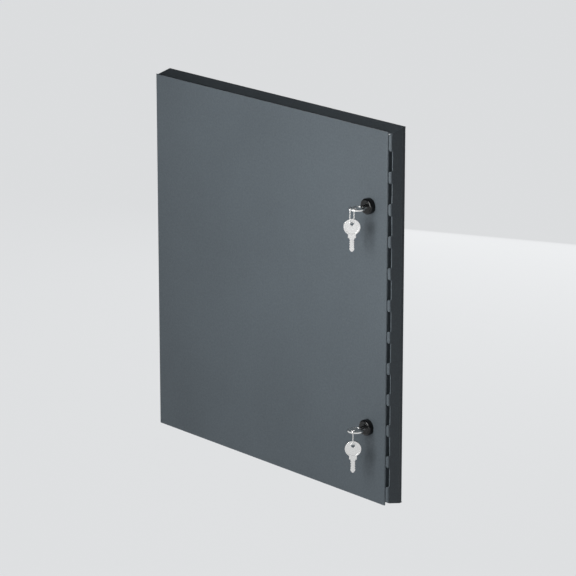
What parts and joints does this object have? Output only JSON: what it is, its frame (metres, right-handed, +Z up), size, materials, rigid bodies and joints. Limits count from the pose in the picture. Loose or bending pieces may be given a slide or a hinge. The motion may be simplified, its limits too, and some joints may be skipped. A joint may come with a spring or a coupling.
{
  "type": "locking solid rack door",
  "caption": "Lockable solid sheet door on a continuous hinge in a shallow folded frame that bolts to equipment rack rails, with cam locks, keys and a castellated lip on the closing side",
  "frame": {"origin": "centre of the mounting slots, on the plane of the rack rails", "axes": "+X towards the closing side of the door, +Y into the rack, +Z up"},
  "size_m": [0.4859, 0.0699, 0.5314],
  "materials": {
    "powder_coat": "fine textured charcoal powder coat",
    "black_zinc": "glossy black",
    "plug": "bright plated",
    "nickel": "bright nickel plate",
    "zinc": "zinc plated steel"
  },
  "bodies": {
    "frame": {"right_jamb": "powder_coat", "left_jamb": "powder_coat", "top_rail": "powder_coat", "bottom_rail": "powder_coat", "upper_keeper": "powder_coat", "lower_keeper": "powder_coat", "frame_hinge_leaf": "zinc", "frame_leaf_rivets": "zinc", "hinge_pin": "zinc"},
    "door": {"door_panel": "powder_coat", "top_stiffener": "powder_coat", "bottom_stiffener": "powder_coat", "door_hinge_leaf": "zinc", "door_leaf_rivets": "zinc", "upper_lock_body": "black_zinc", "upper_lock_nut": "zinc", "lower_lock_body": "black_zinc", "lower_lock_nut": "zinc"},
    "upper_plug": {"upper_lock_plug": "plug", "upper_cam": "zinc", "upper_cam_washer": "zinc", "upper_cam_screw": "zinc", "upper_key": "nickel"},
    "upper_link": {"upper_link": "nickel"},
    "upper_spare_key": {"upper_spare_key": "nickel"},
    "lower_plug": {"lower_lock_plug": "plug", "lower_cam": "zinc", "lower_cam_washer": "zinc", "lower_cam_screw": "zinc", "lower_key": "nickel"},
    "lower_link": {"lower_link": "nickel"},
    "lower_spare_key": {"lower_spare_key": "nickel"}
  },
  "joints": [
    {"name": "door_hinge", "type": "hinge", "parent": "frame", "child": "door", "pos_m": [-0.2416, -0.01265, 0], "axis": [0, 0, -1], "range_deg": [0, 135]},
    {"name": "upper_lock_turn", "type": "hinge", "parent": "door", "child": "upper_plug", "pos_m": [0.2008, -0.029, 0.154], "axis": [0, -1, 0], "range_deg": [0, 90]},
    {"name": "upper_link_swing", "type": "hinge", "parent": "upper_plug", "child": "upper_link", "pos_m": [0.2008, -0.0613, 0.154], "axis": [1, 0, 0], "range_deg": [-25, 25]},
    {"name": "upper_key_swing", "type": "hinge", "parent": "upper_link", "child": "upper_spare_key", "pos_m": [0.2008, -0.0613, 0.1358], "axis": [0.7071, -0.7071, 0], "range_deg": [-15, 15]},
    {"name": "lower_lock_turn", "type": "hinge", "parent": "door", "child": "lower_plug", "pos_m": [0.2008, -0.029, -0.159], "axis": [0, -1, 0], "range_deg": [0, 90]},
    {"name": "lower_link_swing", "type": "hinge", "parent": "lower_plug", "child": "lower_link", "pos_m": [0.20436, -0.06026, -0.159], "axis": [0.7071, 0.7071, 0], "range_deg": [-25, 25]},
    {"name": "lower_key_swing", "type": "hinge", "parent": "lower_link", "child": "lower_spare_key", "pos_m": [0.20436, -0.06026, -0.1772], "axis": [0.7071, -0.7071, 0], "range_deg": [-15, 15]}
  ]
}
